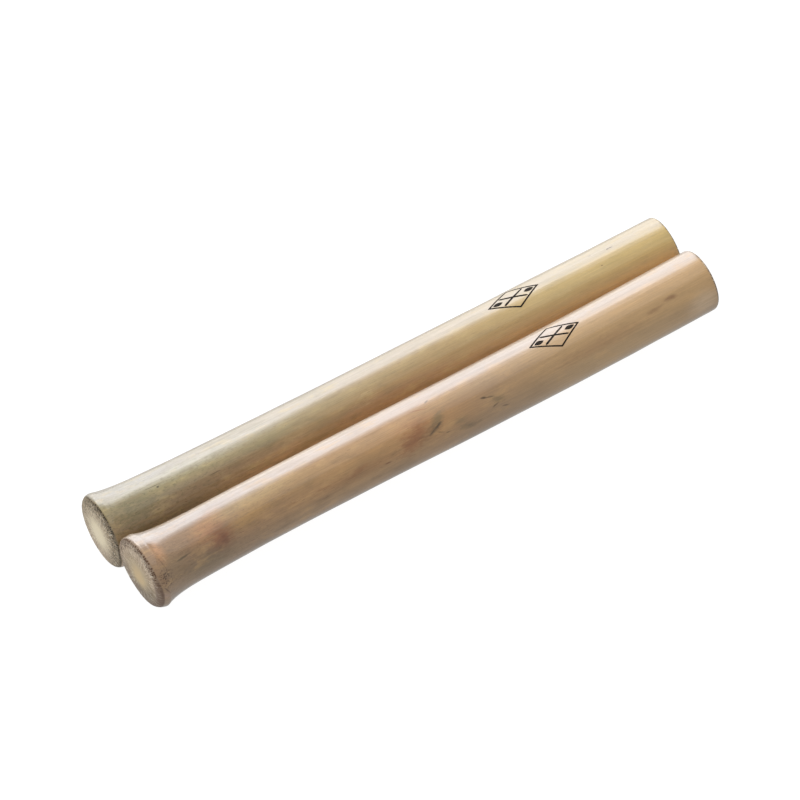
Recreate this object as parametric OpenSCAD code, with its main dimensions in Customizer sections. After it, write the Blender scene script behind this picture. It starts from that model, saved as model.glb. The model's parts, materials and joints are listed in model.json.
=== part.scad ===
// A pair of bamboo claves lying side by side.
// +X runs along the claves to their open ends, +Y to the rear clave, +Z up.
// The origin is at the middle of the pair, on the surface it lies on.

/* [Claves] */
// Length of each clave
clave_len = 254; // [230:1:300]
// Diameter of the rear clave where it is slimmest
rear_waist_d = 24.2; // [22:0.1:25]
// Diameter of the rear clave at its open end
rear_end_d = 25.2; // [25:0.1:27]
// Diameter of the front clave where it is slimmest
front_waist_d = 25; // [22:0.1:25]
// Diameter of the front clave at its open end
front_end_d = 25.4; // [25:0.1:27]
// Distance from the flared end to the slimmest place
waist_at = 110; // [80:1:160]
// Diameter of the natural hollow inside each clave
bore_d = 14; // [8:0.5:15]
// Gap where the two claves come closest
pair_gap = 0.3; // [0.2:0.1:2]

/* [Flared ends] */
// Diameter of the flared rim
rim_d = 30.6; // [28:0.1:36]
// Length of the flare, from the rim to the slim body
flare_len = 40; // [24:1:60]
// Distance over which the rear flare falls to a third
rear_fade = 9; // [4:0.1:12]
// Distance over which the front flare falls to a third
front_fade = 6.2; // [4:0.1:12]
// Rounding of the rear clave's rim
rear_rim_round = 1.2; // [0.6:0.1:3.4]
// Rounding of the front clave's rim, which is more worn
front_rim_round = 3; // [0.6:0.1:3.4]
// Diameter of the node plate that closes the flared end
plate_d = 17.2; // [15.6:0.1:18]
// Thickness of the node plate where it meets the wall
plate_t = 5; // [3:0.1:8]
// Depth of the dish in the node plate's inner face
plate_dish = 1.6; // [0.5:0.1:2.5]

/* [Open ends] */
// Rounding of the open end's outer edge
end_round = 1.8; // [0.5:0.1:3]
// Chamfer at the mouth of the hollow
mouth_chamfer = 0.6; // [0.2:0.1:1.2]

/* [Printed emblems] */
// Distance from the flared end to the emblem's centre
emblem_at = 186; // [80:1:200]
// Length of the emblem's lozenge, along the clave
emblem_len = 23; // [12:0.5:26]
// Width of the emblem's lozenge, around the clave
emblem_w = 12; // [8:0.5:14]
// Width of the printed line
line_w = 0.6; // [0.4:0.1:1]
// Thickness of the ink
ink_t = 0.08; // [0.06:0.01:0.2]
// Turn of the front clave's emblem towards the front, in degrees
front_turn = 8; // [-20:1:20]

/* [Hidden] */
$fn = 96;

bore_r = bore_d / 2;
rim_r = rim_d / 2;
plate_r = plate_d / 2;
// Slope of the flare where it meets the rounded rim, in degrees
rim_slope = 20;
arc_step = 10;
flare_steps = 16;
body_steps = 24;
// How far a cutting solid runs past the face that it cuts
cut = 1;

stick_len = emblem_len * 0.5;
stick_w = line_w * 1.5;
stick_angle = 24;
leaf_len = emblem_len * 0.2;
leaf_w = emblem_w * 0.12;
leaf_at = emblem_len * 0.3;

// A clave's shape is [waist radius, open end radius, rim rounding, flare's fade]
rear = [rear_waist_d / 2, rear_end_d / 2, rear_rim_round, rear_fade];
front = [front_waist_d / 2, front_end_d / 2, front_rim_round, front_fade];

// The outer surface's outline, as [radius, distance from the flared face]. The body keeps
// its waist radius as far as waist_at, and from there swells evenly to the open end.

function body_r(c, x) =
    c[0] + (c[1] - c[0]) * pow(max(0, x - waist_at) / (clave_len - waist_at), 2);

function rim_arc(c) =
    [for (a = [180 : -arc_step : 90 - rim_slope])
        [rim_r - c[2] + c[2] * sin(a), c[2] + c[2] * cos(a)]];

function flare_curve(c) =
    let (
        start = c[2] * (1 + sin(rim_slope)),
        rise = rim_r - c[2] * (1 - cos(rim_slope)) - c[0],
        rest = exp(-(flare_len - start) / c[3])
    )
    [for (i = [1 : flare_steps])
        let (x = start + (flare_len - start) * i / flare_steps)
        [c[0] + rise * (exp(-(x - start) / c[3]) - rest) / (1 - rest), x]];

function body_curve(c) =
    [for (i = [1 : body_steps])
        let (x = flare_len + (clave_len - end_round - flare_len) * i / body_steps)
        [body_r(c, x), x]];

function end_arc(c) =
    let (r = body_r(c, clave_len - end_round))
    [for (a = [90 - arc_step : -arc_step : 0])
        [r - end_round * (1 - sin(a)), clave_len - end_round * (1 - cos(a))]];

function outline(c) =
    concat([[0, 0]], rim_arc(c), flare_curve(c), body_curve(c), end_arc(c), [[0, clave_len]]);

// Each clave lies with its rim and its open end on the table and beside its neighbour,
// so it tips down and turns in by the same small angle. side is 1 for the rear clave,
// -1 for the front one.

function lean(c) =
    asin((rim_r - body_r(c, clave_len - end_round)) / (clave_len - c[2] - end_round));

function reach(c) = (rim_r - c[2]) * cos(lean(c)) + c[2] * sin(lean(c)) + c[2];

module lay(c, side) {
    translate([-clave_len / 2, side * (reach(c) + pair_gap / 2), reach(c)])
        rotate([0, 0, -side * lean(c)])
            rotate([0, 90 + lean(c), 0])
                children();
}

// The parts of one clave, standing on its flared face with its axis along +Z

module culm(c) {
    difference() {
        rotate_extrude()
            polygon(outline(c));
        translate([0, 0, -cut])
            cylinder(r = plate_r, h = plate_t + cut);
        translate([0, 0, plate_t - cut])
            cylinder(r = bore_r, h = clave_len + cut);
        translate([0, 0, clave_len - mouth_chamfer])
            cylinder(r1 = bore_r, r2 = bore_r + mouth_chamfer + cut, h = mouth_chamfer + cut);
    }
}

module node_plate() {
    dish_r = (bore_r * bore_r + plate_dish * plate_dish) / (2 * plate_dish);
    difference() {
        cylinder(r = plate_r, h = plate_t);
        translate([0, 0, plate_t - plate_dish + dish_r])
            sphere(r = dish_r);
    }
}

module lozenge(len, w) {
    polygon([[-len / 2, 0], [0, -w / 2], [len / 2, 0], [0, w / 2]]);
}

module leaf() {
    r = (leaf_len * leaf_len + leaf_w * leaf_w) / (4 * leaf_w);
    intersection() {
        translate([0, r - leaf_w / 2])
            circle(r = r);
        translate([0, leaf_w / 2 - r])
            circle(r = r);
    }
}

module emblem_shape() {
    inner_len = emblem_len - 2 * line_w * norm([emblem_len, emblem_w]) / emblem_w;
    difference() {
        lozenge(emblem_len, emblem_w);
        lozenge(inner_len, inner_len * emblem_w / emblem_len);
    }
    for (a = [-stick_angle, stick_angle])
        rotate(a)
            square([stick_len, stick_w], center = true);
    for (side = [-1, 1])
        translate([side * leaf_at, 0])
            leaf();
}

// A film of ink all along the body, of which the emblem's shape is kept
module ink_film(c) {
    inner = body_curve(c);
    rotate_extrude()
        polygon(concat(
            inner,
            [for (i = [body_steps - 1 : -1 : 0]) [inner[i][0] + ink_t, inner[i][1]]]
        ));
}

module emblem(c, turn) {
    intersection() {
        ink_film(c);
        rotate([0, 0, turn])
            translate([0, 0, emblem_at])
                rotate([0, -90, 0])
                    linear_extrude(height = rim_r)
                        emblem_shape();
    }
}

module rear_culm() {
    color("#a59466")
        lay(rear, 1)
            culm(rear);
}

module rear_node_plate() {
    color("#d3c49a")
        lay(rear, 1)
            node_plate();
}

module rear_emblem() {
    color("#2a2420")
        lay(rear, 1)
            emblem(rear, 0);
}

module front_culm() {
    color("#b08f63")
        lay(front, -1)
            culm(front);
}

module front_node_plate() {
    color("#c9b694")
        lay(front, -1)
            node_plate();
}

module front_emblem() {
    color("#2a2420")
        lay(front, -1)
            emblem(front, front_turn);
}

rear_culm();
rear_node_plate();
rear_emblem();
front_culm();
front_node_plate();
front_emblem();
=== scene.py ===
"""Looks of a pair of bamboo claves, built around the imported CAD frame."""
import json
import math

import bpy
import numpy as np
from mathutils import Matrix, Vector


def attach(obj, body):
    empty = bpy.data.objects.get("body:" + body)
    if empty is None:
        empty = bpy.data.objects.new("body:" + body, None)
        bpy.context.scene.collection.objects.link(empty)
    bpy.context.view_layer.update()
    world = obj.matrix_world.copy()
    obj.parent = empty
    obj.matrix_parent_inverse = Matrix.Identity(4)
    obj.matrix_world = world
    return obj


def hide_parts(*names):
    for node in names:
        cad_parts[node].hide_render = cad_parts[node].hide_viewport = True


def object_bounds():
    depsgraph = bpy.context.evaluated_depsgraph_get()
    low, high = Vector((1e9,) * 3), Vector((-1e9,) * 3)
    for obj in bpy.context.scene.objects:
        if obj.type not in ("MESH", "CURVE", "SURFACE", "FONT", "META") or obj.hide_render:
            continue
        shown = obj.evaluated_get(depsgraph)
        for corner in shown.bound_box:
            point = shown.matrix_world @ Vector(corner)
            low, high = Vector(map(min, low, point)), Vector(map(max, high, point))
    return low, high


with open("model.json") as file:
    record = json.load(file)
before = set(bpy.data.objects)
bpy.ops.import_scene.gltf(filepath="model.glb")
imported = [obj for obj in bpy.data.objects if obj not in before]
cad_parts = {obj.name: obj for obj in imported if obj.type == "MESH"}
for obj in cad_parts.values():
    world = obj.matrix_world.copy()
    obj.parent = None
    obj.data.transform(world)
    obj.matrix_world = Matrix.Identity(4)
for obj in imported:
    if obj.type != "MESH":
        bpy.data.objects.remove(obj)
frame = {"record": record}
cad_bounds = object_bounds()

MM = 0.001
SCENE = bpy.context.scene
MOUNTS = {m["name"]: m for m in frame["record"]["mounts"]}


# ---------------------------------------------------------------- small helpers

def smoothstep(low, high, value):
    t = np.clip((value - low) / (high - low), 0.0, 1.0)
    return t * t * (3.0 - 2.0 * t)


def soft_min(a, b, width):
    """The smaller of a and b, blended where they are within width of each other."""
    h = np.clip(0.5 + 0.5 * (b - a) / width, 0.0, 1.0)
    return b + (a - b) * h - width * h * (1.0 - h)


def lattice_noise(rng, x, turn, cells_x, cells_turn):
    """Smooth seeded noise over a sheet that closes on itself in turn, from -1 to 1."""
    table = rng.uniform(-1.0, 1.0, (cells_x + 2, cells_turn))
    gx = np.clip(x, 0.0, 1.0) * cells_x
    gt = (turn % 1.0) * cells_turn
    ix = np.floor(gx).astype(int)
    it = np.floor(gt).astype(int)
    fx = smoothstep(0.0, 1.0, gx - ix)
    ft = smoothstep(0.0, 1.0, gt - it)
    it0 = it % cells_turn
    it1 = (it + 1) % cells_turn
    low = table[ix, it0] * (1 - ft) + table[ix, it1] * ft
    high = table[ix + 1, it0] * (1 - ft) + table[ix + 1, it1] * ft
    return low * (1 - fx) + high * fx


def tone(r, g, b):
    """A colour given as 0 to 255 screen values, as the linear values that shaders use."""
    def linear(v):
        v = v / 255.0
        return v / 12.92 if v <= 0.04045 else ((v + 0.055) / 1.055) ** 2.4
    return linear(r), linear(g), linear(b)


# ---------------------------------------------------------------- the two claves

# Angles go round a clave in degrees, from +Y (0) over the top (90) to -Y (180).
LENGTH = 254.0 * MM
SKIN_SECTORS = 480
PLATE_SECTORS = 240
PLATE_RADIUS = 8.6 * MM
BORE_RADIUS = MOUNTS["rear_open_end"]["dims"]["r_mm"] * MM
PLATE_DEPTH = 5.0 * MM
PLATE_DISH = 1.6 * MM
BOW_TURN = 45.0
EMBLEM_AT = 186.5 * MM
INK_OVER = 0.04 * MM
INK_UNDER = 0.10 * MM
BOX_INSET = 0.01 * MM                # how far inside the CAD box everything stays
RIM_BLEND = 0.3 * MM                 # how softly the flare runs into the rim's rounding
FLARE_END = 44 * MM                  # from here on the skin's rings are evenly spread
MOUTH_CHAMFER = 0.6 * MM
NICK_DEPTH = 0.06 * MM               # of the nicks in the rim, which fade within NICK_FADE
NICK_FADE = 0.8 * MM
CUT_BLEND = 0.25 * MM                # how softly the sawn face's colour turns into the skin's
CUT_WANDER = 0.35                    # how far that border strays, as a share of its distance
DOME_FADE = 20 * MM                  # within this the skin's rings straighten behind the domed face
KICK_RISE = 6 * MM                   # how fast a kick sets in behind the face
LINING_RIPPLE = 0.02 * MM

# The grown surface's unevenness: cells along the stick and round it, and height. The broad and
# middle waves die out towards the ends, within EVEN_ENDS of the face and of the far end.
EVEN_ENDS = 8 * MM, 6 * MM
WAVES = {
    "broad": (9, 5, 0.08 * MM),
    "middle": (26, 16, 0.045 * MM),
    "fibres": (7, 150, 0.005 * MM),
}

CLAVES = {
    "rear": {
        "seed": 11,
        "body": 12.2 * MM,           # radius of the slimmest stretch
        "swell": (0.54 * MM, 1.2),   # how much wider the open end is, and how late it widens
        "waist_at": 115 * MM,
        # rises at the face, and how fast each fades
        "flare": ((2.1 * MM, 25 * MM), (2.5 * MM, 4.8 * MM)),
        "rim_radius": 15.2 * MM,
        "rim_new": (1.1 * MM, 0.9 * MM),     # rounding along the stick and across it, where crisp
        "rim_worn": (2.9 * MM, 2.5 * MM),    # and where worn
        "worn_turn": 315.0,
        "worn_span": (0.1, 0.6),             # how the wear fades in round the rim
        "lopsided": 0.06,
        "bow": 0.05 * MM,            # how far the middle line winds off straight
        # how far the middle line sits off the face's centre, and where that fades
        "kick": (0.28 * MM, 400 * MM, 500 * MM),
        "dome": 0.8 * MM,
        "end_round": 0.9 * MM,
        "emblem_turn": 90.5,
    },
    "front": {
        "seed": 23,
        "body": 12.2 * MM,
        "swell": (0.38 * MM, 1.0),
        "waist_at": 60 * MM,
        "flare": ((0.7 * MM, 30 * MM), (4.9 * MM, 5.3 * MM)),
        "rim_radius": 15.2 * MM,
        "rim_new": (1.2 * MM, 0.9 * MM),
        "rim_worn": (5.8 * MM, 3.5 * MM),
        "worn_turn": 245.0,
        "worn_span": (0.25, 0.9),
        "lopsided": 0.0,
        "bow": 0.5 * MM,
        "kick": (0.2 * MM, 60 * MM, 180 * MM),
        "dome": 0.35 * MM,
        "end_round": 1.6 * MM,
        "emblem_turn": 98.5,
    },
}


def place(name):
    """The clave's own frame in the row: columns are along, level and up, then the face's centre."""
    mount = MOUNTS[name + "_flared_face"]
    along = -Vector(mount["axis"]).normalized()
    level = Vector((0, 0, 1)).cross(along).normalized()
    up = along.cross(level)
    m = Matrix((along, level, up)).transposed().to_4x4()
    m.translation = Vector(mount["pos_m"])
    return m


def rim_size(c, turn):
    """The rim's rounding along the stick and across it, at each angle round it."""
    worn = 0.5 + 0.5 * np.cos(turn - math.radians(c["worn_turn"]))
    worn = smoothstep(*c["worn_span"], worn)
    return tuple(new + (old - new) * worn for new, old in zip(c["rim_new"], c["rim_worn"]))


def skin_radius(c, x, turn):
    """Outer radius at x along the stick and turn (radians) round it."""
    tail = np.clip((x - c["waist_at"]) / (LENGTH - c["waist_at"]), 0.0, 1.0)
    flare = sum(rise * np.exp(-x / fade) for rise, fade in c["flare"])
    flare = flare * (1.0 + c["lopsided"] * np.cos(turn - math.radians(c["worn_turn"])))
    swell, late = c["swell"]
    r = c["body"] + swell * tail ** late + flare
    along, across = rim_size(c, turn)
    u = np.clip(1.0 - x / along, 0.0, 1.0)
    edge = c["rim_radius"] - across * (1.0 - np.sqrt(1.0 - u ** 2))
    r = soft_min(r, edge, RIM_BLEND)
    v = np.clip((x - (LENGTH - c["end_round"])) / c["end_round"], 0.0, 1.0)
    return r - c["end_round"] * (1.0 - np.sqrt(1.0 - v ** 2))


def uneven(c, x, turn):
    """How far the grown surface departs from an even round one."""
    rng = np.random.default_rng(c["seed"] + 5)
    share = turn / (2 * math.pi)
    wave = {}
    for key, (cells_x, cells_turn, height) in WAVES.items():
        wave[key] = lattice_noise(rng, x / LENGTH, share, cells_x, cells_turn) * height
    ends = smoothstep(0.0, EVEN_ENDS[0], x) * smoothstep(0.0, EVEN_ENDS[1], LENGTH - x)
    return (wave["broad"] + wave["middle"]) * ends + wave["fibres"]


def skin_point(c, x, turn, lift=0.0):
    """Points on the skin, in the clave's own frame, as arrays of x, level and up."""
    r = skin_radius(c, x, turn) + uneven(c, x, turn) + lift
    level, up = bow(c, x)
    return x, r * np.cos(turn) + level, r * np.sin(turn) + up


def bow(c, x):
    """Sideways lie of the stick's middle line, as (level, up) offsets."""
    s = c["bow"] * np.sin(2 * math.pi * x / LENGTH)
    kick, fade_from, fade_to = c["kick"]
    s = s + kick * (1.0 - np.exp(-x / KICK_RISE)) * (1.0 - smoothstep(fade_from, fade_to, x))
    return s * math.cos(math.radians(BOW_TURN)), s * math.sin(math.radians(BOW_TURN))


# ---------------------------------------------------------------- meshes

def new_object(name, local, faces, matrix, attributes):
    """A smooth mesh from points in a clave's own frame, which it keeps as the attribute local.

    matrix takes them to the world, where they are kept inside the CAD box.
    """
    mesh = bpy.data.meshes.new(name)
    local = np.asarray(local, float)
    world = local @ np.array(matrix.to_3x3()).T + np.array(matrix.translation)
    world = np.clip(world, np.array(cad_bounds[0]) + BOX_INSET, np.array(cad_bounds[1]) - BOX_INSET)
    mesh.from_pydata(world.tolist(), [], faces)
    mesh.update()
    vec = mesh.attributes.new("local", "FLOAT_VECTOR", "POINT")
    vec.data.foreach_set("vector", local.astype(np.float32).ravel())
    for key, values in attributes.items():
        layer = mesh.attributes.new(key, "FLOAT", "POINT")
        layer.data.foreach_set("value", np.asarray(values, np.float32).ravel())
    mesh.polygons.foreach_set("use_smooth", [True] * len(mesh.polygons))
    obj = bpy.data.objects.new(name, mesh)
    SCENE.collection.objects.link(obj)
    return obj


def ring_faces(rings, sectors, closed):
    """Quads between rings of sectors vertices each; closed joins the last ring to the first."""
    faces = []
    for i in range(rings if closed else rings - 1):
        a = i * sectors
        b = ((i + 1) % rings) * sectors
        for j in range(sectors):
            k = (j + 1) % sectors
            faces.append((a + j, a + k, b + k, b + j))
    return faces


def culm(name, c, matrix):
    """The stick: cut face, rounded rim, skin, open end and hollow, as one closed surface."""
    turn = np.arange(SKIN_SECTORS) * 2 * math.pi / SKIN_SECTORS
    share = turn / (2 * math.pi)
    rng = np.random.default_rng(c["seed"])
    level_row = np.ones(SKIN_SECTORS)
    rows = []

    def add(x, r, cut, inside):
        rows.append([level_row * x, level_row * r, level_row * cut, level_row * inside])

    along, across = rim_size(c, turn)
    face_edge = c["rim_radius"] - across
    dome = c["dome"] / c["rim_radius"] ** 2
    nicks = lattice_noise(rng, turn * 0.0, share, 1, 90) * NICK_DEPTH
    wander = 1.0 + CUT_WANDER * lattice_noise(rng, turn * 0.0, share, 1, 14)

    for k in np.linspace(0, 1, 40):
        r = PLATE_RADIUS + (face_edge - PLATE_RADIUS) * k
        add(dome * r ** 2, r, 1.0, 0.0)
    longest = float(along.max())
    steps = np.concatenate([
        longest * (1.0 - np.cos(np.linspace(0, math.pi / 2, 22)[1:])),
        longest + (FLARE_END - longest) * np.linspace(0, 1, 40)[1:] ** 1.35,
        np.linspace(FLARE_END, LENGTH - c["end_round"], 40)[1:],
        LENGTH - c["end_round"] * (1.0 - np.sin(np.linspace(0, math.pi / 2, 10)[1:])),
    ])
    edge_at = along * wander * 0.5
    for x in steps:
        at = level_row * x
        r = skin_radius(c, at, turn) + uneven(c, at, turn) + nicks * np.exp(-(at / NICK_FADE))
        shift = dome * face_edge ** 2 * max(0.0, 1.0 - x / DOME_FADE)
        cut = 1.0 - smoothstep(edge_at - CUT_BLEND, edge_at + CUT_BLEND, at)
        bare_from, bare_to = (LENGTH - c["end_round"] * share_left for share_left in (0.75, 0.45))
        cut = cut + smoothstep(bare_from, bare_to, at)
        add(at + shift, r, cut, 0.0)
    end_edge = rows[-1][1].copy()
    mouth = BORE_RADIUS + MOUTH_CHAMFER
    for k in np.linspace(0, 1, 20)[1:]:
        add(LENGTH, end_edge + (mouth - end_edge) * k, 1.0, 0.0)
    for k in np.linspace(0, 1, 4)[1:]:
        add(LENGTH - MOUTH_CHAMFER * k, mouth - MOUTH_CHAMFER * k, 1.0, k)
    hollow = np.linspace(LENGTH - MOUTH_CHAMFER, PLATE_DEPTH, 26)[1:]
    ripples = np.random.default_rng(c["seed"] + 9).uniform(-1, 1, (len(hollow), 1)) * LINING_RIPPLE
    for x, ripple in zip(hollow, ripples):
        add(x, BORE_RADIUS + ripple * (x != hollow[-1]), 0.0, 1.0)
    add(PLATE_DEPTH, PLATE_RADIUS, 1.0, 1.0)
    add(PLATE_DEPTH * 0.5, PLATE_RADIUS, 1.0, 1.0)

    x, r, cut, inside = (np.stack([row[i] for row in rows]) for i in range(4))
    level, up = bow(c, x)
    local = np.stack([x, r * np.cos(turn) + level, r * np.sin(turn) + up], -1).reshape(-1, 3)
    return new_object(name + "_stick", local, ring_faces(len(rows), SKIN_SECTORS, True), matrix,
                      {"cut": cut, "inside": inside})


def node_plate(name, c, matrix):
    """The node's diaphragm: its cut face carries on from the stick's, its back is dished."""
    turn = np.arange(PLATE_SECTORS) * 2 * math.pi / PLATE_SECTORS
    tip = 0.12 * MM
    front = [(c["dome"] * (r / c["rim_radius"]) ** 2, r) for r in np.linspace(tip, PLATE_RADIUS, 40)]
    back = [(PLATE_DEPTH - PLATE_DISH * (1 - (r / BORE_RADIUS) ** 2), r)
            for r in np.linspace(BORE_RADIUS, tip, 16)]
    path = front + [(PLATE_DEPTH * 0.5, PLATE_RADIUS), (PLATE_DEPTH, PLATE_RADIUS)] + back
    x = np.array([p[0] for p in path])[:, None] + 0 * turn
    r = np.array([p[1] for p in path])[:, None] + 0 * turn
    local = np.stack([x, r * np.cos(turn), r * np.sin(turn)], -1).reshape(-1, 3).tolist()
    faces = ring_faces(len(path), PLATE_SECTORS, False)
    first, last = len(local), len(local) + 1
    local.append((0.0, 0.0, 0.0))
    local.append((PLATE_DEPTH - PLATE_DISH, 0.0, 0.0))
    end = (len(path) - 1) * PLATE_SECTORS
    for j in range(PLATE_SECTORS):
        k = (j + 1) % PLATE_SECTORS
        faces.append((first, k, j))
        faces.append((last, end + j, end + k))
    inside = (np.array(local)[:, 0] > PLATE_DEPTH * 0.6).astype(float)
    return new_object(name + "_plate", local, faces, matrix, {"cut": 1.0 - inside, "inside": inside})


def mark_strips():
    """The printed mark laid flat: a lozenge round two crossed sticks and two leaves.

    Each strip is its pairs of left and right points, whether it closes, and how much it is raised.
    """
    length, width, line = 23 * MM, 12 * MM, 0.62 * MM
    stick, stick_wide, tilt = 11.5 * MM, 0.85 * MM, math.radians(24)
    leaf, leaf_wide, leaf_at = 4.2 * MM, 1.9 * MM, 0.3 * length
    blunt, thinning = 0.06, 0.18
    strips = []

    corners = [Vector(p) for p in ((length / 2, 0), (0, width / 2), (-length / 2, 0), (0, -width / 2))]
    inset = 1.0 - line / (length * width / math.hypot(length, width) / 2)
    loop = []
    for a, b in zip(corners, corners[1:] + corners[:1]):
        for k in np.linspace(0, 1, 15)[:-1]:
            p = a.lerp(b, k)
            loop.append((p, p * inset))
    strips.append((loop, True, 0.0))
    for side, extra in ((1, 0.0), (-1, 0.012 * MM)):
        d = Vector((math.cos(tilt), side * math.sin(tilt)))
        n = Vector((-d.y, d.x)) * stick_wide / 2
        bar = []
        for k in np.linspace(-1, 1, 17):
            round_off = math.sqrt(max(0.0, 1.0 - max(0.0, (abs(k) - (1.0 - blunt)) / blunt) ** 2))
            p = d * (k * stick / 2)
            half = n * (1.0 - thinning * (k + 1) / 2) * max(round_off, 0.25)
            bar.append((p + half, p - half))
        strips.append((bar, False, extra))
    for side in (1, -1):
        blade = []
        for k in np.linspace(-1, 1, 13):
            half = max(leaf_wide / 2 * (1.0 - k * k), 0.05 * MM)
            p = Vector((side * leaf_at + k * leaf / 2, 0))
            blade.append((p + Vector((0, half)), p - Vector((0, half))))
        strips.append((blade, False, 0.0))
    return strips


def emblem(name, c, matrix):
    """The printed mark as films of ink wrapped onto the skin."""
    local, faces = [], []
    across = 4
    radius = float(skin_radius(c, np.array([EMBLEM_AT]), np.array([0.0]))[0])
    middle = math.radians(c["emblem_turn"])
    for rows, closed, extra in mark_strips():
        base = len(local)
        per = 2 * across
        for left, right in rows:
            points = [left.lerp(right, k) for k in np.linspace(0, 1, across)]
            x = EMBLEM_AT + np.array([p.x for p in points])
            turn = middle - np.array([p.y for p in points]) / radius
            top = np.stack(skin_point(c, x, turn, INK_OVER + extra), -1)
            under = np.stack(skin_point(c, x, turn, -INK_UNDER), -1)
            local += top.tolist() + under[::-1].tolist()
        count = len(rows)
        for i in range(count if closed else count - 1):
            a, b = base + i * per, base + (i + 1) % count * per
            for j in range(per):
                k = (j + 1) % per
                faces.append((a + j, b + j, b + k, a + k))
        if not closed:
            faces.append(tuple(base + j for j in range(per)))
            faces.append(tuple(base + (count - 1) * per + j for j in reversed(range(per))))
    obj = new_object(name + "_mark", local, faces, matrix, {})
    for poly in obj.data.polygons:
        poly.use_smooth = False
    return obj


# ---------------------------------------------------------------- materials

class Graph:
    """A short way to write a material's nodes. Sockets and plain values can both be passed in."""

    def __init__(self, tree):
        self.tree = tree

    def node(self, kind, settings=None, **inputs):
        n = self.tree.nodes.new(kind)
        for key, value in (settings or {}).items():
            setattr(n, key, value)
        for key, value in inputs.items():
            self.feed(n.inputs[key.replace("_", " ")], value)
        return n

    def feed(self, socket, value):
        if isinstance(value, bpy.types.NodeSocket):
            self.tree.links.new(value, socket)
        else:
            socket.default_value = value

    def math(self, op, a, b=0.0, c=0.0):
        n = self.node("ShaderNodeMath", {"operation": op})
        for socket, value in zip(n.inputs, (a, b, c)):
            self.feed(socket, value)
        return n.outputs[0]

    def add(self, a, b):
        return self.math("ADD", a, b)

    def sub(self, a, b):
        return self.math("SUBTRACT", a, b)

    def mul(self, a, *others):
        for b in others:
            a = self.math("MULTIPLY", a, b)
        return a

    def vector(self, op, a, b=(0, 0, 0)):
        n = self.node("ShaderNodeVectorMath", {"operation": op})
        self.feed(n.inputs[0], a)
        if op == "SCALE":
            self.feed(n.inputs["Scale"], b)
        else:
            self.feed(n.inputs[1], b)
        return n.outputs["Value" if op in ("DOT_PRODUCT", "LENGTH") else "Vector"]

    def combine(self, x, y, z):
        return self.node("ShaderNodeCombineXYZ", X=x, Y=y, Z=z).outputs[0]

    def split(self, vector):
        out = self.node("ShaderNodeSeparateXYZ", Vector=vector).outputs
        return out["X"], out["Y"], out["Z"]

    def attribute(self, name, output="Fac"):
        return self.node("ShaderNodeAttribute", {"attribute_name": name}).outputs[output]

    def noise(self, vector, scale, detail=2.0, rough=0.5, shift=0.0):
        """Noise from 0 to 1 whose cells are about as long as the three lengths in scale (mm)."""
        at = self.vector("MULTIPLY", vector, tuple(1.0 / v for v in scale))
        if shift:
            at = self.vector("ADD", at, (shift, shift, shift))
        n = self.node("ShaderNodeTexNoise", Vector=at, Scale=1.0, Detail=detail, Roughness=rough)
        return n.outputs["Fac"]

    def step(self, value, low, high):
        """0 at low, 1 at high, smooth between; high may be under low."""
        n = self.node("ShaderNodeMapRange", {"interpolation_type": "SMOOTHSTEP"})
        for key, v in (("Value", value), ("From Min", low), ("From Max", high)):
            self.feed(n.inputs[key], v)
        return n.outputs["Result"]

    def mix(self, factor, a, b, blend="MIX"):
        n = self.node("ShaderNodeMix", {"data_type": "RGBA", "blend_type": blend})
        self.feed(n.inputs[0], factor)
        for socket, value in ((n.inputs[6], a), (n.inputs[7], b)):
            if isinstance(value, tuple) and len(value) == 3:
                value = (*value, 1.0)
            self.feed(socket, value)
        return n.outputs[2]

    def scaled(self, colour, factor):
        return self.vector("SCALE", colour, factor)

    def ramp(self, factor, stops):
        n = self.node("ShaderNodeValToRGB")
        self.feed(n.inputs["Fac"], factor)
        elements = n.color_ramp.elements
        while len(elements) < len(stops):
            elements.new(0.5)
        for element, (position, colour) in zip(elements, stops):
            element.position = position
            element.color = (*colour, 1.0)
        return n.outputs["Color"]

    def dots(self, u, v, size, keep):
        """Round dots on a sheet, one to each unit square of it, most of them kept."""
        n = self.node("ShaderNodeTexVoronoi", {"voronoi_dimensions": "2D", "feature": "F1"},
                      Vector=self.combine(u, v, 0.0), Scale=1.0, Randomness=0.8)
        chance = self.split(n.outputs["Color"])
        reach = self.mul(self.add(self.mul(chance[1], 0.6), 0.7), size)
        spot = self.step(n.outputs["Distance"], self.mul(reach, 1.2), self.mul(reach, 0.7))
        return self.mul(spot, self.math("LESS_THAN", chance[0], keep))


def new_material(name):
    mat = bpy.data.materials.new(name)
    mat.use_nodes = True
    tree = mat.node_tree
    return mat, Graph(tree), tree.nodes["Principled BSDF"]


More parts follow.
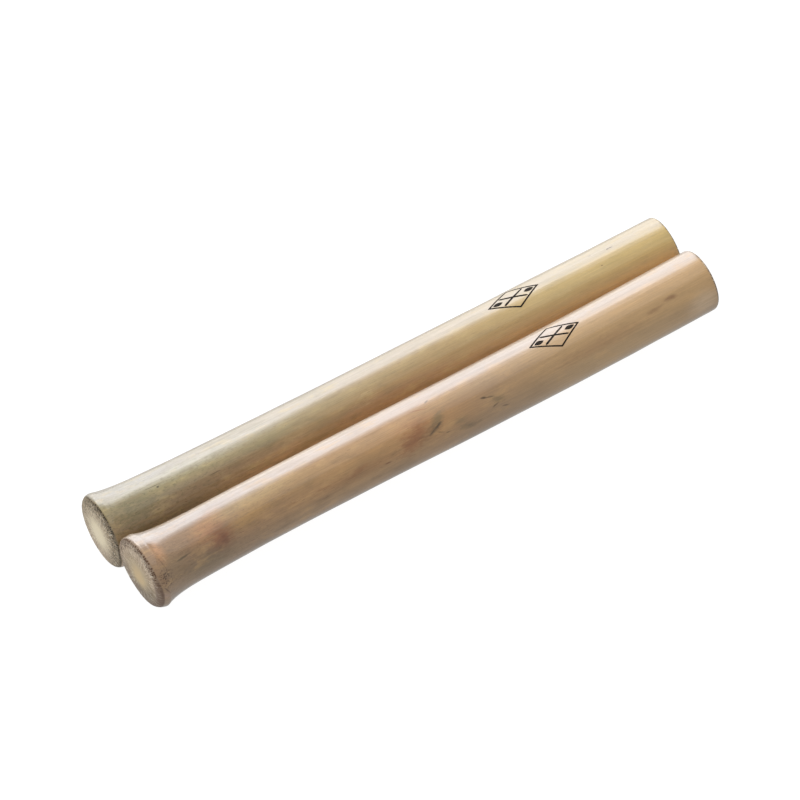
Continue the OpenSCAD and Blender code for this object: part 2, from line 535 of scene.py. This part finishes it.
def blotch_group():
    """A patch on the skin: 1 in its middle, 0 outside, with an uneven edge."""
    tree = bpy.data.node_groups.new("blotch", "ShaderNodeTree")
    tree.interface.new_socket("Place", in_out="INPUT", socket_type="NodeSocketVector")
    for key in ("At", "Turn", "Length", "Width", "Tilt", "Soft", "Ragged"):
        tree.interface.new_socket(key, in_out="INPUT", socket_type="NodeSocketFloat")
    tree.interface.new_socket("Mask", in_out="OUTPUT", socket_type="NodeSocketFloat")
    g = Graph(tree)
    i = tree.nodes.new("NodeGroupInput").outputs
    x, y, z = g.split(i["Place"])
    cos_t, sin_t = g.math("COSINE", i["Turn"]), g.math("SINE", i["Turn"])
    cos_l, sin_l = g.math("COSINE", i["Tilt"]), g.math("SINE", i["Tilt"])
    facing = g.add(g.mul(y, cos_t), g.mul(z, sin_t))
    across = g.sub(g.mul(z, cos_t), g.mul(y, sin_t))
    along = g.sub(x, i["At"])
    p = g.math("DIVIDE", g.add(g.mul(along, cos_l), g.mul(across, sin_l)), i["Length"])
    q = g.math("DIVIDE", g.sub(g.mul(across, cos_l), g.mul(along, sin_l)), i["Width"])
    far = g.math("SQRT", g.add(g.mul(p, p), g.mul(q, q)))
    edge = g.sub(g.noise(i["Place"], (2.6, 0.8, 0.8), detail=3.0), 0.5)
    far = g.add(far, g.mul(edge, i["Ragged"]))
    mask = g.step(far, 1.0, g.sub(1.0, i["Soft"]))
    mask = g.mul(mask, g.math("GREATER_THAN", facing, 0.0))
    g.feed(tree.nodes.new("NodeGroupOutput").inputs["Mask"], mask)
    return tree


BLOTCH = blotch_group()


def blotch(g, local, at, turn, size, tilt=0.0, soft=0.9, ragged=0.5):
    n = g.node("ShaderNodeGroup", {"node_tree": BLOTCH}, Place=local, At=float(at),
               Turn=math.radians(turn), Length=size[0] / 2, Width=size[1] / 2,
               Tilt=math.radians(tilt), Soft=soft, Ragged=ragged)
    return n.outputs["Mask"]


# What the skin and the cut faces look like. A turn is in degrees round the stick, a radius in mm.
# along: the skin's colour from the flared face (0) to the far end (1).
# Tints of one side of the skin: along the top a painted highlight, a paler and greyer tone where the
# gloss lies;
# on the lower side a browner tone, also made lighter or darker as painted shading; underneath, painted
# shading towards the floor and the other stick, painted light on the rear where the front stick shades
# it and slight painted shade on the front. mottle, cloud, glow, dash, mould: its patches.
# end: the cut face's colour from its middle outwards; sides: (turn, where it fades in, colour,
# strength) of tints on it; spoke, bundle: its rays and fibre ends; rim: where its edge is worn.
# root_scars: dots on the skin beside the node.
# marks: (mm from the flared face, turn, (mm along, mm across), tilt off the grain, colour,
# strength, softness, raggedness). Some of them are painted highlight and painted light beside the gloss
# along the top, each noted where it stands.
LOOKS = {
    "rear": {
        "along": ((0.0, tone(150, 134, 92)), (0.25, tone(158, 137, 92)), (0.55, tone(184, 152, 98)),
                  (0.8, tone(198, 170, 108)), (1.0, tone(204, 174, 104))),
        # lower side: browner tone that also serves as painted shading, set to how light that side looks
        "low_turn": 195, "low_tone_and_shading_colour": tone(196, 153, 112), "low_tone_and_shading_amount": 0.7,
        # underneath: painted light on the side the front stick shades
        "underside_painted_shading_colour": tone(222, 185, 146), "underside_painted_shading_amount": 0.6,
        # top: painted highlight, a paler and greyer tone where the gloss lies
        "painted_highlight_turn": 70, "painted_highlight_colour": tone(186, 178, 164), "painted_highlight_amount": 0.6,
        "mottle_colour": tone(122, 116, 74), "mottle_amount": 0.28,
        "dash_colour": tone(104, 78, 50),
        "cloud_colour": tone(128, 112, 76), "glow_colour": tone(206, 180, 122),
        "mould_colour": tone(100, 94, 60), "mould_amount": 0.45,
        "pale_at": (0.9, -0.5),
        "end": ((0.0, tone(246, 232, 202)), (0.28, tone(242, 228, 196)), (0.46, tone(228, 212, 182)),
                (0.7, tone(202, 184, 156)), (0.92, tone(164, 146, 118))),
        "sides": ((285, (6.0, 12.0), tone(216, 196, 172), 0.7),
                  (200, (6.0, 11.0), tone(172, 154, 128), 0.7)),
        "spoke": tone(130, 108, 82), "spoke_amount": 0.55,
        "bundle": tone(52, 44, 26), "dots_turn": 150, "dots_from": 8.8,
        "rim_turn": 215, "rim_colour": tone(132, 120, 98), "rim_amount": 0.3,
        "marks": (
            (18, 166, (100, 26), 0, tone(132, 116, 88), 0.8, 0.9, 0.4),
            # Painted highlight: greys the gloss along the top by the flared end
            (20, 78, (60, 12), 0, tone(158, 158, 152), 0.5, 0.9, 0.3),
            (34, 106, (80, 9), 0, tone(150, 142, 84), 0.5, 0.9, 1.8),
            (14, 132, (24, 16), 0, tone(118, 112, 74), 0.5, 0.9, 2.2),
            (72, 118, (40, 10), 0, tone(140, 130, 84), 0.45, 0.9, 1.6),
            (50, 142, (90, 10), 0, tone(134, 98, 64), 0.4, 0.9, 0.8),
            (120, 152, (90, 9), 0, tone(148, 104, 70), 0.35, 0.9, 0.8),
            # The next two are painted light and painted highlight: paler bands at the lower edge of the
            # gloss along the top
            (90, 111, (190, 7), 0, tone(204, 186, 146), 0.3, 0.9, 0.4),
            (50, 100, (120, 8), 0, tone(210, 204, 188), 0.45, 0.9, 0.4),
            (24, 107, (13, 0.6), 0, tone(92, 84, 50), 0.7, 0.9, 0.5),
            (48, 134, (6, 0.6), 0, tone(92, 74, 46), 0.65, 0.8, 0.6),
            (25.5, 111.5, (1.4, 1.0), 0, tone(58, 50, 34), 0.85, 0.6, 0.1),
            (230.5, 89, (3.0, 0.6), 5, tone(104, 92, 80), 0.9, 0.6, 0.1),
            (229.3, 89.3, (1.3, 0.6), 8, tone(70, 60, 50), 0.9, 0.6, 0.1),
            (222, 84, (1.6, 0.8), 5, tone(150, 136, 120), 0.6, 0.8, 0.2),
            (223.2, 115.5, (1.1, 0.7), 0, tone(110, 84, 52), 0.7, 0.6, 0.1),
        ),
    },
    "front": {
        "along": ((0.0, tone(168, 136, 104)), (0.15, tone(162, 128, 94)), (0.35, tone(190, 148, 98)),
                  (0.5, tone(188, 143, 94)), (0.6, tone(179, 144, 106)), (0.75, tone(198, 161, 112)),
                  (1.0, tone(203, 165, 115))),
        # lower side: browner tone that also serves as painted shading, set to how light that side looks
        "low_turn": 225, "low_tone_and_shading_colour": tone(178, 152, 121), "low_tone_and_shading_amount": 0.45,
        # underneath: slight painted shade
        "underside_painted_shading_colour": tone(160, 136, 110), "underside_painted_shading_amount": 0.2,
        # top: painted highlight, a paler and greyer tone where the gloss lies
        "painted_highlight_turn": 70, "painted_highlight_colour": tone(194, 182, 172), "painted_highlight_amount": 0.7,
        "mottle_colour": tone(146, 118, 84), "mottle_amount": 0.25,
        "dash_colour": tone(118, 78, 54),
        "cloud_colour": tone(140, 112, 78), "glow_colour": tone(214, 172, 116),
        "mould_colour": tone(114, 90, 66), "mould_amount": 0.3,
        "pale_at": (0.9, -1.2),
        "end": ((0.0, tone(216, 190, 146)), (0.18, tone(212, 188, 146)), (0.38, tone(198, 178, 144)),
                (0.72, tone(200, 178, 150)), (0.95, tone(180, 158, 134))),
        "sides": ((250, (3.0, 9.0), tone(124, 110, 90), 0.85),
                  (300, (6.0, 11.0), tone(140, 127, 114), 0.8),
                  (95, (7.0, 10.0), tone(206, 186, 162), 0.6)),
        "spoke": tone(136, 114, 92), "spoke_amount": 0.5,
        "bundle": tone(84, 58, 38), "dots_turn": 105, "dots_from": 10.8,
        "rim_turn": 210, "rim_colour": tone(122, 100, 88), "rim_amount": 0.8,
        "root_scars": {"at": 4.5, "turn": 160.0, "size": (9.0, 12.0), "colour": tone(92, 70, 48)},
        "marks": (
            (28, 118, (26, 13), -25, tone(200, 142, 94), 0.6, 0.9, 0.6),
            (45, 132, (34, 12), -8, tone(194, 151, 88), 0.5, 0.9, 0.8),
            (31, 146, (17, 14), -30, tone(146, 92, 60), 0.8, 0.9, 1.0),
            (32.5, 150, (5, 6), -30, tone(120, 72, 48), 0.6, 0.9, 1.2),
            (14, 144.5, (8.8, 1.2), -5, tone(70, 60, 40), 0.85, 0.8, 0.9),
            (6.5, 120, (8, 15), 0, tone(206, 154, 108), 0.75, 0.9, 0.4),
            # The next three are painted highlight: a paler patch in the gloss by the rim, a bright line
            # on the rim's lip, and a greyer gloss tone by the flared end
            (6, 82, (12, 11), 0, tone(206, 196, 188), 0.6, 0.9, 0.3),
            (1.7, 92, (12, 0.8), 88, tone(226, 198, 162), 0.35, 0.9, 0.4),
            (20, 76, (60, 10), 0, tone(176, 166, 160), 0.4, 0.9, 0.3),
            (5.6, 138, (8, 0.9), 78, tone(118, 88, 62), 0.55, 0.9, 0.9),
            (7.2, 132, (6, 0.9), 74, tone(220, 184, 142), 0.45, 0.9, 0.9),
            (4.0, 160, (6, 7), 0, tone(128, 94, 66), 0.6, 0.9, 0.9),
            (3.6, 178, (7, 1.0), 62, tone(96, 74, 58), 0.6, 0.9, 0.5),
            (2.6, 190, (6, 7), 0, tone(176, 148, 136), 0.5, 0.9, 0.5),
            (10, 150, (18, 16), 0, tone(150, 128, 96), 0.45, 0.9, 0.8),
            (24, 180, (34, 12), 0, tone(140, 124, 96), 0.5, 0.9, 0.8),
            (22, 164, (36, 11), 0, tone(118, 100, 74), 0.45, 0.9, 0.6),
            (117, 124, (30, 10), 14, tone(206, 152, 96), 0.5, 0.9, 0.6),
            (118, 138, (24, 15), -34, tone(172, 118, 76), 0.55, 0.9, 0.9),
            (116.5, 152, (20, 10), -24, tone(150, 98, 60), 0.75, 0.9, 0.9),
            (123.8, 108, (11.5, 0.6), 16.4, tone(158, 84, 44), 0.8, 0.8, 0.3),
            (128.5, 139, (12.5, 6.0), -35, tone(124, 110, 78), 0.65, 0.9, 1.3),
            (127.4, 149.0, (5.4, 1.2), -24, tone(62, 52, 34), 0.9, 0.9, 0.7),
            (124.4, 155.5, (4.4, 1.0), -28, tone(84, 70, 46), 0.75, 0.9, 0.8),
            (125.6, 153.0, (8.5, 2.6), -24, tone(110, 94, 64), 0.6, 0.9, 1.0),
            (127.4, 161.5, (6.0, 0.9), 26, tone(86, 72, 48), 0.7, 0.9, 0.9),
            (130.6, 168.5, (3.2, 0.9), 10, tone(84, 72, 50), 0.75, 0.9, 0.8),
            (128.6, 99.5, (2.8, 1.0), -14, tone(116, 104, 84), 0.85, 0.7, 0.5),
            (148.6, 143.0, (3.6, 1.3), 16, tone(76, 62, 38), 0.85, 0.9, 0.6),
            (151.0, 146.5, (5.4, 0.8), 14, tone(92, 76, 48), 0.75, 0.9, 0.7),
            (152.2, 164.5, (4.8, 1.0), -15, tone(92, 76, 50), 0.75, 0.9, 0.8),
            (154.2, 156.0, (9.0, 4.4), 24, tone(136, 116, 80), 0.6, 0.9, 1.3),
            (156, 174, (4.4, 1.0), 14, tone(92, 76, 50), 0.7, 0.9, 0.9),
            (137, 160, (9.0, 4.0), 4, tone(136, 118, 86), 0.5, 0.9, 1.3),
            (139.3, 176, (13, 3.6), 8, tone(112, 98, 70), 0.55, 0.9, 1.5),
            (103.8, 168, (4.6, 0.9), 4, tone(116, 72, 46), 0.75, 0.8, 0.6),
            (91, 156, (13, 3.6), -14, tone(148, 98, 60), 0.5, 0.9, 1.5),
            (76, 153.5, (7.5, 1.6), 6, tone(138, 88, 54), 0.55, 0.9, 1.2),
            (62, 151.5, (8, 1.4), 6, tone(136, 92, 56), 0.55, 0.9, 1.2),
            (92, 160, (60, 7), 0, tone(150, 106, 68), 0.4, 0.9, 0.8),
            (234.2, 140.5, (8.5, 2.6), 6, tone(142, 100, 66), 0.7, 0.9, 0.9),
            (226, 147, (12, 2.6), -4, tone(154, 112, 74), 0.5, 0.9, 0.9),
            (200, 155, (60, 8), 0, tone(162, 118, 80), 0.35, 0.9, 0.9),
            (212, 200, (110, 17), 0, tone(214, 178, 128), 0.55, 0.8, 0.2),
            (247, 180, (22, 15), 0, tone(228, 200, 166), 0.6, 0.9, 0.2),
            (124, 155, (17, 6), -18, tone(108, 80, 54), 0.45, 0.9, 0.9),
            (20, 146, (14, 7), -5, tone(106, 86, 64), 0.35, 0.9, 0.9),
            # The next three are painted light and painted highlight: paler bands at the lower edge of
            # the gloss along the top, and a bright band along the top edge beside the other stick
            (150, 112, (200, 8), 0, tone(214, 186, 148), 0.3, 0.9, 0.4),
            (50, 108, (62, 8), 0, tone(226, 200, 148), 0.4, 0.9, 0.5),
            (60, 60, (180, 7), 0, tone(248, 232, 212), 0.6, 0.9, 0.2),
            (62, 118, (70, 12), 0, tone(186, 150, 88), 0.3, 0.9, 0.8),
        ),
    },
}
# Centre of the painted shading underneath, towards the floor and the other stick
UNDERSIDE_SHADING_TURN = 205
PALE_RAY = tone(236, 226, 204)
LINING = tone(140, 112, 76), tone(216, 194, 150)
PLATE_BACK = tone(150, 124, 86), tone(206, 184, 142)
INK = tone(32, 25, 16), tone(78, 60, 40)
COAT_IOR = 1.6
COAT_ROUGHNESS = 0.16
CUT_COAT = 0.15
CUT_ROUGHNESS = 0.6
LINING_ROUGHNESS = 0.8
SKIN_SPECULAR = 0.25
INK_SPECULAR = 0.12
BUMP = {"Strength": 0.35, "Distance": 0.02 * MM}


def lacquer(shader):
    """The clear coat's gloss, the same on skin and cut faces."""
    shader.inputs["Specular IOR Level"].default_value = SKIN_SPECULAR
    shader.inputs["Coat Roughness"].default_value = COAT_ROUGHNESS
    shader.inputs["Coat IOR"].default_value = COAT_IOR


def facing(g, way, turn):
    """1 where the direction way points to turn, 0 a quarter turn from it, -1 opposite."""
    a = math.radians(turn)
    return g.vector("DOT_PRODUCT", way, (0, math.cos(a), math.sin(a)))


def end_grain(g, local, look):
    """Colour of a cut face: pale middle, streaks outwards, and dark fibre ends near the skin."""
    x, y, z = g.split(local)
    flat = g.combine(0.0, y, z)
    radius = g.vector("LENGTH", flat)
    way = g.vector("NORMALIZE", flat)
    off = g.vector("SUBTRACT", flat, (0, *look["pale_at"]))
    wobble = g.mul(g.sub(g.noise(flat, (2.5, 2.5, 2.5), detail=3.0), 0.5), 4.0)
    colour = g.ramp(g.math("DIVIDE", g.add(g.vector("LENGTH", off), wobble), 15.3), look["end"])
    for turn, reach, side_colour, amount in look["sides"]:
        side = g.mul(g.step(facing(g, way, turn), 0.1, 0.95), g.step(radius, *reach), amount)
        colour = g.mix(side, colour, side_colour)
    worn = g.mul(g.step(facing(g, way, look["rim_turn"]), 0.45, 0.9), g.step(radius, 10.0, 12.5))
    worn = g.mul(worn, look["rim_amount"])
    colour = g.mix(worn, colour, look["rim_colour"])

    spin = g.vector("ADD", g.vector("SCALE", way, 32.0), g.combine(g.mul(radius, 0.28), 0.0, 0.0))
    spokes = g.noise(spin, (1, 1, 1), detail=3.0, rough=0.6)
    spoke_amount = g.mul(g.step(radius, 3.0, 7.5), g.step(radius, 15.4, 13.0))
    dark = g.mul(g.step(spokes, 0.47, 0.62), spoke_amount, look["spoke_amount"])
    colour = g.mix(dark, colour, look["spoke"])
    pale = g.mul(g.step(spokes, 0.46, 0.34), spoke_amount, 0.85)
    pale = g.mul(pale, g.sub(1.0, g.mul(worn, 0.75)))
    colour = g.mix(pale, colour, PALE_RAY)

    # Fibre ends: close dots in rows round the rim, at gaps set 13 mm out, and sparse ones inside
    gap_round, gap_out, gap_inside = 0.68, 0.85, 0.9
    angle = g.math("ARCTAN2", y, z)
    fine = g.mul(g.dots(g.mul(angle, 13.0 / gap_round), g.math("DIVIDE", radius, gap_out), 0.42, 0.72),
                 g.step(radius, look["dots_from"], look["dots_from"] + 1.8))
    coarse = g.dots(g.math("DIVIDE", y, gap_inside), g.math("DIVIDE", z, gap_inside), 0.28, 0.75)
    coarse = g.mul(coarse, g.step(radius, 4.5, 7.5), g.step(radius, 11.0, 9.2))
    dotted = facing(g, way, look["dots_turn"])
    show = g.add(g.mul(g.step(dotted, -0.6, 0.5), 0.6), 0.4)
    show = g.mul(show, g.sub(1.0, g.mul(worn, 0.8)))
    dots = g.mul(g.math("MAXIMUM", fine, g.mul(coarse, 0.45)), show, g.sub(1.0, g.mul(pale, 0.7)))
    arris = g.add(0.22, g.mul(g.step(dotted, 0.0, 0.7), 0.3))
    arris = g.mul(g.step(radius, 12.9, 14.6), arris)
    colour = g.mix(arris, colour, look["bundle"])
    colour = g.mix(g.mul(dots, 0.95), colour, look["bundle"])
    grain = g.noise(flat, (0.4, 0.4, 0.4), detail=2.0, rough=0.7)
    colour = g.scaled(colour, g.add(0.88, g.mul(grain, 0.42)))
    return colour, g.sub(g.mul(grain, 0.4), dots)


def skin(g, local, look):
    """Colour and relief of the grown skin, with its tints, patches, marks and grain; the tints and some
    marks paint a highlight along the top and shading on the lower side.
    """
    x, y, z = g.split(local)
    way = g.vector("NORMALIZE", g.combine(0.0, y, z))

    def side(turn, low, high, amount):
        return g.mul(g.step(facing(g, way, turn), low, high), amount)

    colour = g.ramp(g.math("DIVIDE", x, LENGTH / MM), look["along"])
    # Painted highlight: a paler, greyer tone along the top, where the gloss lies
    colour = g.mix(side(look["painted_highlight_turn"], 0.8, 0.96, look["painted_highlight_amount"]), colour, look["painted_highlight_colour"])
    # The lower side's browner tone, which also serves as painted shading
    colour = g.mix(side(look["low_turn"], 0.2, 1.0, look["low_tone_and_shading_amount"]), colour, look["low_tone_and_shading_colour"])
    # Painted shading underneath, towards the floor and the other stick
    colour = g.mix(side(UNDERSIDE_SHADING_TURN, 0.68, 0.9, look["underside_painted_shading_amount"]), colour, look["underside_painted_shading_colour"])
    aged = g.add(g.mul(g.step(x, 190.0, 60.0), 0.65), 0.35)
    # Patches are thinned under the painted highlight, so the gloss along the top reads clean
    outside_painted_highlight = g.sub(1.0, side(look["painted_highlight_turn"], 0.75, 0.95, 0.65))
    mottle = g.step(g.noise(local, (15, 4.5, 4.5), detail=3.0), 0.46, 0.66)
    colour = g.mix(g.mul(mottle, aged, look["mottle_amount"]), colour, look["mottle_colour"])
    for at, turn, size, tilt, mark_colour, amount, soft, ragged in look["marks"]:
        mask = blotch(g, local, at, turn, size, tilt, soft, ragged)
        colour = g.mix(g.mul(mask, amount), colour, mark_colour)

    cloud = g.noise(local, (11, 4.2, 4.2), detail=4.0, rough=0.6, shift=9.1)
    colour = g.mix(g.mul(g.step(cloud, 0.5, 0.72), aged, outside_painted_highlight, 0.4), colour, look["cloud_colour"])
    colour = g.mix(g.mul(g.step(cloud, 0.48, 0.3), 0.35), colour, look["glow_colour"])
    bands = g.noise(local, (70, 1.6, 1.6), detail=3.0, rough=0.6)
    grain = g.noise(local, (16, 0.4, 0.4), detail=3.0, rough=0.6)
    shade = g.add(g.mul(g.sub(bands, 0.5), 0.28), g.mul(g.sub(grain, 0.5), 0.4))
    colour = g.scaled(colour, g.add(shade, 1.0))
    dashes = g.step(g.noise(local, (3.4, 0.3, 0.3), detail=1.0), 0.66, 0.74)
    patches = g.step(g.noise(local, (24, 6, 6), detail=2.0, shift=3.7), 0.4, 0.62)
    colour = g.mix(g.mul(dashes, patches, aged, outside_painted_highlight, 0.55), colour, look["dash_colour"])
    mould = g.step(g.noise(local, (1.7, 0.9, 0.9), detail=3.0, rough=0.65, shift=5.3), 0.52, 0.66)
    near_node = g.mul(g.step(x, 95.0, 15.0), look["mould_amount"])
    colour = g.mix(g.mul(mould, near_node, outside_painted_highlight), colour, look["mould_colour"])
    specks = g.noise(local, (1.1, 0.35, 0.35), detail=2.0, rough=0.7)
    colour = g.scaled(colour, g.add(0.92, g.mul(specks, 0.16)))
    if "root_scars" in look:
        scars = look["root_scars"]
        near = blotch(g, local, scars["at"], scars["turn"], scars["size"], ragged=1.2)
        spots = g.dots(g.math("DIVIDE", x, 0.95), g.math("DIVIDE", z, 0.8), 0.42, 0.75)
        colour = g.mix(g.mul(spots, near, 0.8), colour, scars["colour"])

    peel = g.noise(local, (5.0, 2.4, 2.4), detail=1.0)
    relief = g.add(g.add(g.mul(grain, 0.35), g.mul(bands, 0.7)), peel)
    return colour, relief


def bamboo(name, look):
    """Lacquered bamboo: its skin, the cut faces' fibres and the hollow's lining."""
    mat, g, shader = new_material(name + "_bamboo")
    local = g.vector("SCALE", g.attribute("local", "Vector"), 1.0 / MM)
    cut, inside = g.attribute("cut"), g.attribute("inside")
    colour, relief = skin(g, local, look)
    end_colour, end_relief = end_grain(g, local, look)
    colour = g.mix(cut, colour, end_colour)
    lining = g.mix(g.noise(local, (30, 0.9, 0.9), detail=3.0), *LINING)
    colour = g.mix(g.mul(inside, g.sub(1.0, cut)), colour, lining)
    g.feed(shader.inputs["Base Color"], colour)

    smear = g.noise(local, (22, 5, 5), detail=2.0)
    rough = g.add(0.3, g.mul(smear, 0.16))
    rough = g.math("MAXIMUM", rough, g.mul(cut, CUT_ROUGHNESS))
    rough = g.math("MAXIMUM", rough, g.mul(inside, LINING_ROUGHNESS))
    g.feed(shader.inputs["Roughness"], rough)
    bare = g.math("MAXIMUM", g.mul(cut, 1.0 - CUT_COAT), inside)
    g.feed(shader.inputs["Coat Weight"], g.sub(1.0, bare))
    lacquer(shader)
    relief = g.mix(cut, g.combine(relief, relief, relief), g.combine(end_relief, end_relief, end_relief))
    bump = g.node("ShaderNodeBump", Height=relief, **BUMP)
    g.feed(shader.inputs["Normal"], bump.outputs["Normal"])
    return mat


def pith(name, look):
    """The node's diaphragm: the stick's end grain carries on across it, and its back is woody."""
    mat, g, shader = new_material(name + "_pith")
    local = g.vector("SCALE", g.attribute("local", "Vector"), 1.0 / MM)
    colour, relief = end_grain(g, local, look)
    weave = g.noise(local, (1.2, 1.2, 1.2), detail=4.0)
    colour = g.mix(g.attribute("inside"), colour, g.mix(weave, *PLATE_BACK))
    g.feed(shader.inputs["Base Color"], colour)
    shader.inputs["Roughness"].default_value = CUT_ROUGHNESS
    shader.inputs["Coat Weight"].default_value = CUT_COAT
    lacquer(shader)
    bump = g.node("ShaderNodeBump", Height=relief, **BUMP)
    g.feed(shader.inputs["Normal"], bump.outputs["Normal"])
    return mat


def ink():
    """Dark printing ink under the lacquer, thin in places."""
    mat, g, shader = new_material("mark_ink")
    local = g.vector("SCALE", g.attribute("local", "Vector"), 1.0 / MM)
    thin = g.step(g.noise(local, (1.4, 0.5, 0.5), detail=3.0), 0.52, 0.78)
    g.feed(shader.inputs["Base Color"], g.mix(g.mul(thin, 0.5), *INK))
    shader.inputs["Roughness"].default_value = 0.55
    shader.inputs["Specular IOR Level"].default_value = INK_SPECULAR
    return mat


# ---------------------------------------------------------------- camera and light

VIEW_TIP = math.radians(18.2)        # how far the sticks' near ends tip towards the camera
VIEW_RISE = math.radians(42.3)       # height of the camera across the sticks
VIEW_ROLL = math.radians(27.77)      # the sticks' slant in the view
VIEW_WIDTH = 0.303                   # what the frame takes in at the sticks
CAMERA_FAR = 3.0
AIM_ALONG = -0.7 * MM
AIM_UP = 2.3 * MM


def camera():
    """A long lens; d points at it, t along the sticks in its view, n square to both."""
    d = Vector((-math.sin(VIEW_TIP), -math.cos(VIEW_TIP) * math.cos(VIEW_RISE),
                math.cos(VIEW_TIP) * math.sin(VIEW_RISE)))
    t = Vector((math.cos(VIEW_TIP), -math.sin(VIEW_TIP) * math.cos(VIEW_RISE),
                math.sin(VIEW_TIP) * math.sin(VIEW_RISE)))
    n = Vector((0, math.sin(VIEW_RISE), math.cos(VIEW_RISE)))
    right = math.cos(VIEW_ROLL) * t - math.sin(VIEW_ROLL) * n
    up = math.sin(VIEW_ROLL) * t + math.cos(VIEW_ROLL) * n
    centre = (cad_bounds[0] + cad_bounds[1]) / 2
    target = centre + t * AIM_ALONG + n * AIM_UP
    data = bpy.data.cameras.new("camera")
    data.sensor_width = 36
    data.lens = 36 * CAMERA_FAR / VIEW_WIDTH
    data.clip_start = 0.05
    data.clip_end = 20
    obj = bpy.data.objects.new("camera", data)
    obj.rotation_euler = Matrix((right, up, d)).transposed().to_euler()
    obj.location = target + d * CAMERA_FAR
    SCENE.collection.objects.link(obj)
    SCENE.camera = obj


def area_light(name, at, towards, size, watts, colour):
    data = bpy.data.lights.new(name, "AREA")
    data.shape = "RECTANGLE"
    data.size, data.size_y = size
    data.energy = watts
    data.color = colour
    obj = bpy.data.objects.new(name, data)
    obj.location = at
    obj.rotation_euler = (Vector(towards) - Vector(at)).to_track_quat("-Z", "Y").to_euler()
    SCENE.collection.objects.link(obj)


FLOOR_SIZE = 3.0
FLOOR_GREY = 0.12
FLOOR_GLOW = 0.97
ROOM_LIGHT = 0.48
ROOM_BEHIND = 0.2                    # what the room gives behind the sticks on top of that
STICKS = (0, 0, 0.015)
NEAR_ENDS = (-0.13, 0, 0.015)
COOL, NEUTRAL, WARM = (0.95, 0.95, 1.0), (1.0, 1.0, 1.0), (1.0, 0.96, 0.92)

# Each softbox's place, what it faces, its size, watts and colour. The first three, behind the
# sticks, make the gloss along their tops.
SOFTBOXES = {
    "softbox_back": ((0.25, 0.56, 0.51), STICKS, (0.56, 0.51), 2.45, COOL),
    "softbox_low": ((0.25, 0.73, 0.16), STICKS, (0.56, 0.29), 0.72, WARM),
    "softbox_high": ((0.2, 0.34, 0.62), STICKS, (0.56, 0.30), 0.6, COOL),
    "softbox_top": ((0.1, 0.1, 0.9), STICKS, (1.6, 1.2), 3.7, NEUTRAL),
    "softbox_end": ((-0.85, -0.25, 0.3), NEAR_ENDS, (0.5, 0.5), 1.4, NEUTRAL),
}


def studio():
    """White paper, softboxes behind, above and at the near ends, and soft light all round."""
    SCENE.view_settings.view_transform = "Standard"
    world = bpy.data.worlds.new("studio")
    SCENE.world = world
    world.use_nodes = True
    g = Graph(world.node_tree)
    way = g.node("ShaderNodeTexCoord").outputs["Generated"]
    behind = g.step(g.vector("DOT_PRODUCT", way, (0, 1, 0)), 0.25, 0.95)
    background = world.node_tree.nodes["Background"]
    g.feed(background.inputs["Strength"], g.add(ROOM_LIGHT, g.mul(behind, ROOM_BEHIND)))
    g.feed(background.inputs["Color"], (1, 1, 1, 1))
    for name, settings in SOFTBOXES.items():
        area_light(name, *settings)

    z = cad_bounds[0].z
    corners = [(-1, -1), (1, -1), (1, 1), (-1, 1)]
    mesh = bpy.data.meshes.new("floor")
    mesh.from_pydata([(a * FLOOR_SIZE, b * FLOOR_SIZE, z) for a, b in corners], [], [(0, 1, 2, 3)])
    floor = bpy.data.objects.new("floor", mesh)
    SCENE.collection.objects.link(floor)
    mat, g, shader = new_material("floor_paper")
    shader.inputs["Base Color"].default_value = (FLOOR_GREY, FLOOR_GREY, FLOOR_GREY, 1)
    shader.inputs["Roughness"].default_value = 0.9
    shader.inputs["Specular IOR Level"].default_value = 0.0
    shader.inputs["Emission Color"].default_value = (1, 1, 1, 1)
    shader.inputs["Emission Strength"].default_value = FLOOR_GLOW
    mesh.materials.append(mat)
    floor.visible_diffuse = False
    floor.visible_glossy = False


# ---------------------------------------------------------------- put together

camera()
studio()
mark_ink = ink()
for name, c in CLAVES.items():
    matrix = place(name)
    body = name + "_clave"
    pieces = (
        (culm(name, c, matrix), name + "_culm", name + "_bamboo", bamboo(name, LOOKS[name])),
        (node_plate(name, c, matrix), name + "_node_plate", name + "_pith", pith(name, LOOKS[name])),
        (emblem(name, c, matrix), name + "_emblem", "ink", mark_ink),
    )
    for piece, node, slot, material in pieces:
        piece.data.materials.append(material)
        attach(piece, body)
        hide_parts(node)
